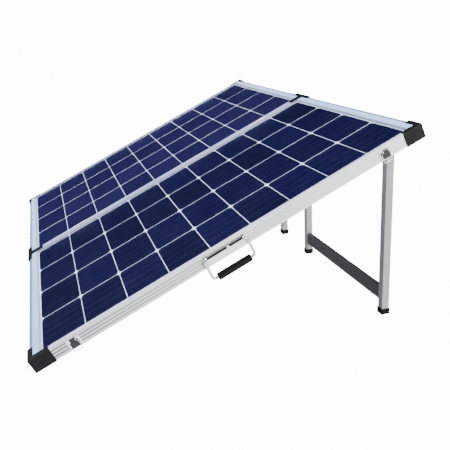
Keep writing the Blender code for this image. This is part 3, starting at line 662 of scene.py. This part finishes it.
def framed_slab(shape, low, high, hole_low, hole_high, thickness):
    """A plate that stands on a face of constant x, with an oblong hole through it."""
    loops = []
    for a, b in ((low, high), (hole_low, hole_high)):
        corners = [(low[0], a[1], a[2]), (low[0], b[1], a[2]), (low[0], b[1], b[2]), (low[0], a[1], b[2])]
        verts = [shape.verts.new(corner) for corner in corners]
        loops += [shape.edges.new((verts[i], verts[(i + 1) % 4])) for i in range(4)]
    ring = bmesh.ops.bridge_loops(shape, edges=loops)["faces"]
    thicken(shape, ring, (thickness, 0, 0))


def loop_corners(low, high, hook, stub):
    """The path of a wire that hooks in at both ends of a pivot line and hangs down from it."""
    radius = (high.x - low.x) / 2
    left = low.y + radius
    right = high.y - radius
    bottom = low.z + radius
    path = (
        (left + stub, hook.z), (left, hook.z), (left, bottom),
        (right, bottom), (right, hook.z), (right - stub, hook.z),
    )
    return [Vector((hook.x, y, z)) for y, z in path]


def rounded_path(corners, bend, steps=6):
    """The corners of an open path, each inner one swapped for an arc."""
    points = [corners[0]]
    for before, corner, after in zip(corners, corners[1:], corners[2:]):
        first = (before - corner).normalized()
        second = (after - corner).normalized()
        centre = corner + (first + second) * bend
        for i in range(steps + 1):
            turn = i / steps * math.pi / 2
            points.append(centre - second * bend * math.cos(turn) - first * bend * math.sin(turn))
    return points + [corners[-1]]


def bent_wire(name, corners, bend, radius, finish, body, replaced):
    """A round wire through the corners, bent at each of them."""
    data = bpy.data.curves.new(name, "CURVE")
    data.dimensions = "3D"
    data.bevel_depth = radius
    data.bevel_resolution = 5
    data.use_fill_caps = True
    line = data.splines.new("POLY")
    points = [SLOPE @ point for point in rounded_path(corners, bend)]
    line.points.add(len(points) - 1)
    for point, place in zip(line.points, points):
        point.co = (*place, 1.0)
    line.use_smooth = True
    data.materials.append(finish)
    piece = add_object(name, data)
    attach(piece, body)
    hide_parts(replaced)


def barrel(shape, centre, length, outer, inner):
    """A short tube along y, with eased ends."""
    ease = 0.5 * MM
    profile = [
        (inner, 0), (outer - ease, 0), (outer, ease),
        (outer, length - ease), (outer - ease, length), (inner, length), (inner, 0),
    ]
    turned(shape, profile, (centre.x, centre.y - length / 2, centre.z), ALONG, 28)


OUTWARD = (1, 0, 0)
ALONG = (0, 1, 0)
BAIL_WIRE = 3.4 * MM
BAIL_BEND = 6 * MM
BAIL_STUB = 7.5 * MM
EYE_INSET = 8.4 * MM
EYE_SIZE = 5.2 * MM
EYE_FOOT = (2.4 * MM, 3.4 * MM)
HANDLE_PLATE = 1.6 * MM
SLOT_INSET = 5 * MM
SLOT_DROP = (11.4 * MM, 6.0 * MM)
STRIP_INSET = 2 * MM
STRIP_DROP = (5.6 * MM, 0.6 * MM)
TAB_OFF_MIDDLE = 9 * MM
TAB_HALF = 3 * MM
RIVET_INSET = 12 * MM
LOOP_BEND = 1.4 * MM
LOOP_STUB = 3.0 * MM
LATCH_PLATE = 1.5 * MM
LATCH_RIVET_INSET = 3.2 * MM


def handle_plate(low, high):
    """Plate with two eyes, a slot with a black strip in it as painted shadow, a darkened strip above it as painted
    shade, a tab and rivets.
    """
    face = low.x
    front = face + HANDLE_PLATE
    slot_low = Vector((face, low.y + SLOT_INSET, high.z - SLOT_DROP[0]))
    slot_high = Vector((face, high.y - SLOT_INSET, high.z - SLOT_DROP[1]))
    plate = bmesh.new()
    framed_slab(plate, low, high, slot_low, slot_high, HANDLE_PLATE)
    soften(plate, 0.45 * MM)
    hook = pivot("handle_swing")
    bail = span("handle_bail")
    for end, inward in ((bail[0].y, 1), (bail[1].y, -1)):
        eye = Vector((hook.x, end + inward * EYE_INSET, hook.z))
        barrel(plate, eye, EYE_SIZE, EYE_SIZE, BAIL_WIRE + 0.15 * MM)
        block(
            plate,
            (front, eye.y - EYE_FOOT[0], eye.z - EYE_FOOT[1]),
            (hook.x - 3.8 * MM, eye.y + EYE_FOOT[0], eye.z + EYE_FOOT[1]),
        )
    close_poles(plate)
    chrome = FINISHES["chrome"]
    put("handle_plate_finished", plate, chrome, "near_panel", replaced=("handle_plate",))

    # Painted shade: the strip above the slot is a darkened, greenish plating standing in for the shaded upper
    # bevel of the plate.
    strip = bmesh.new()
    block(
        strip,
        (front - 0.1 * MM, low.y + STRIP_INSET, high.z - STRIP_DROP[0]),
        (front + 0.5 * MM, high.y - STRIP_INSET, high.z - STRIP_DROP[1]),
    )
    soften(strip, 0.25 * MM)
    put("handle_top_strip", strip, SHADED_STRIP, "near_panel")

    # Painted shadow: a black strip set in the slot stands in for the shadow inside it.
    slot_shadow = bmesh.new()
    block(
        slot_shadow,
        slot_low + Vector((0.05 * MM, 0.1 * MM, 0.1 * MM)),
        slot_high + Vector((0.5 * MM, -0.1 * MM, -0.1 * MM)),
    )
    put("handle_slot_shadow", slot_shadow, FINISHES["black_plastic"], "near_panel")

    tab = bmesh.new()
    middle = (low.y + high.y) / 2 + TAB_OFF_MIDDLE
    block(
        tab,
        (face + 0.3 * MM, middle - TAB_HALF, slot_low.z - 1.0 * MM),
        (front + 1.0 * MM, middle + TAB_HALF, slot_high.z + 0.6 * MM),
    )
    soften(tab, 0.5 * MM)
    for y in (low.y + RIVET_INSET, middle - TAB_OFF_MIDDLE, high.y - RIVET_INSET):
        rivet_head(tab, (front, y, low.z + 5 * MM), OUTWARD, 2.6 * MM, 0.9 * MM)
    close_poles(tab)
    put("handle_tab_and_rivets", tab, chrome, "near_panel")


def handle():
    """The plate, the wire bail that swings in its eyes, and the grip on the bail."""
    handle_plate(*span("handle_plate"))
    corners = loop_corners(*span("handle_bail"), pivot("handle_swing"), BAIL_STUB)
    bent_wire(
        "handle_bail_finished", corners, BAIL_BEND, BAIL_WIRE, FINISHES["chrome"],
        "handle", "handle_bail",
    )
    low, high = span("handle_grip")
    length = high.y - low.y
    outer = (high.x - low.x) / 2
    inner = BAIL_WIRE + 0.2 * MM
    ends = ((outer - 2.2 * MM, 0), (outer - 0.5 * MM, 1.0 * MM), (outer, 2.6 * MM))
    profile = [(inner, 0), *ends, *((radius, length - rise) for radius, rise in reversed(ends))]
    profile += [(inner, length), (inner, 0)]
    grip = bmesh.new()
    turned(grip, profile, (corners[0].x, low.y, corners[2].z), ALONG, 48)
    close_poles(grip)
    rubber = FINISHES["grip_rubber"]
    put("handle_grip_finished", grip, rubber, "handle", replaced=("handle_grip",))


def latch(label):
    """Round wire loop in place of the plain one, and rivets on the latch's plate."""
    loop = f"{label}_latch_loop"
    low, high = span(loop)
    corners = loop_corners(low, high, pivot(f"{label}_loop_swing"), LOOP_STUB)
    radius = (high.x - low.x) / 2
    bent_wire(f"{loop}_finished", corners, LOOP_BEND, radius, FINISHES["chrome"], loop, loop)
    low, high = span(f"{label}_latch_plate")
    middle = (low.z + high.z) / 2
    rivets = bmesh.new()
    for y in (low.y + LATCH_RIVET_INSET, high.y - LATCH_RIVET_INSET):
        rivet_head(rivets, (low.x + LATCH_PLATE, y, middle), OUTWARD, 1.9 * MM, 0.8 * MM)
    close_poles(rivets)
    put(f"{label}_latch_rivets", rivets, FINISHES["zinc_steel"], "near_panel")


# Painted shade: darkened plating for the strip above the handle's slot.
SHADED_STRIP = plated("strip_painted_shade", (0.17, 0.20, 0.18), 0.32)
handle()
for end in ("low", "high"):
    latch(end)

# ---------------------------------------------------------------- stage

CAMERA_FROM_FOLD = (1.8526, 0.07578, 0.67454)
CAMERA_AZIMUTH = math.radians(72.76)
CAMERA_ELEVATION = math.radians(18.39)
CAMERA_ROLL = math.radians(-0.25)
CAMERA_LENS = 47.25
FLOOR_GLOW = 12.0
WORLD_STRENGTH = 2.9
MIRRORED_ROOM = ((0.0, 1.0), (0.47, 0.85), (0.52, 0.03), (0.78, 0.02), (0.90, 0.6))
SIDE_FLAGS = (0.40, 0.62, 0.22)
BACK_SHADE = (-0.45, 0.25, 0.05)


def add_camera():
    data = bpy.data.cameras.new("camera")
    data.lens = CAMERA_LENS
    data.clip_end = 100
    camera = add_object("camera", data)
    level = math.cos(CAMERA_ELEVATION)
    back = Vector((
        math.sin(CAMERA_AZIMUTH) * level, -math.cos(CAMERA_AZIMUTH) * level, math.sin(CAMERA_ELEVATION),
    ))
    turn = (-back).to_track_quat("-Z", "Y").to_matrix() @ Matrix.Rotation(CAMERA_ROLL, 3, "Z")
    place = Vector(JOINTS["panel_fold"]["pos_m"]) + Vector(CAMERA_FROM_FOLD)
    camera.matrix_world = Matrix.Translation(place) @ turn.to_4x4()
    bpy.context.scene.camera = camera


def add_light(name, place, target, size, power, colour):
    data = bpy.data.lights.new(name, "AREA")
    data.shape = "DISK"
    data.size = size
    data.energy = power
    data.color = colour
    light = add_object(name, data)
    light.location = place
    light.rotation_euler = (Vector(target) - Vector(place)).to_track_quat("-Z", "Y").to_euler()


def add_floor():
    """A pale floor that runs up into a backdrop all round."""
    shape = bmesh.new()
    profile = [(0, 0), (6, 0), (7.5, 0.2), (8.6, 0.9), (9.2, 2.0), (9.4, 4.0), (9.4, 12.0)]
    turned(shape, profile, (0, 0, -0.0005), (0, 0, 1), 64)
    close_poles(shape)
    data = bpy.data.meshes.new("floor")
    shape.to_mesh(data)
    shape.free()
    data.shade_smooth()
    finish = Finish("floor", (0.92, 0.92, 0.92), 0.8, Emission_Strength=FLOOR_GLOW)
    finish.set("Emission Color", (1, 1, 1, 1))
    haze = finish.noise(finish.place(PLAIN), 0.8, 2.0)
    finish.set("Base Color", finish.ramp(haze, ((0.3, (0.90, 0.90, 0.90)), (0.7, (0.94, 0.94, 0.94)))))
    data.materials.append(finish.material)
    floor = add_object("floor", data)
    floor.visible_glossy = False
    floor.visible_diffuse = False


def fade(nodes, value, start, end, lowest):
    """From a lowest level to 1 as a value goes from start to end."""
    inputs = {"Value": value, "From Min": start, "From Max": end, "To Min": lowest}
    return nodes.node("ShaderNodeMapRange", inputs=inputs)


def add_world():
    """Even white light. What shiny surfaces mirror is a white floor, a dim room and a bright ceiling."""
    world = bpy.data.worlds.new("studio")
    bpy.context.scene.world = world
    sky = Nodes(world)
    across, along, height = sky.axes(sky.node("ShaderNodeTexCoord", output="Generated"))
    stops = [(place_up, (level, level, level * 1.02)) for place_up, level in MIRRORED_ROOM]
    room = sky.ramp(fade(sky, height, -1.0, 1.0, 0.0), stops)
    flags = fade(sky, across, *SIDE_FLAGS)
    banded = sky.node("ShaderNodeVectorMath", {"operation": "SCALE"}, {0: room, "Scale": flags})
    shaded = fade(sky, along, *BACK_SHADE)
    mirrored = sky.node("ShaderNodeLightPath", output="Is Glossy Ray")
    background = sky.tree.nodes["Background"]
    sky.feed(background.inputs["Color"], sky.mix(mirrored, shaded, banded))
    sky.feed(background.inputs["Strength"], WORLD_STRENGTH)


add_camera()
add_floor()
add_world()
add_light("key", (-1.0, -2.2, 3.4), (0, 0, 0.2), 2.4, 340, (1.0, 1.0, 1.0))
add_light("fill", (3.2, 1.0, 1.1), (0.6, 0.2, 0.3), 1.6, 130, (1.0, 0.985, 0.96))
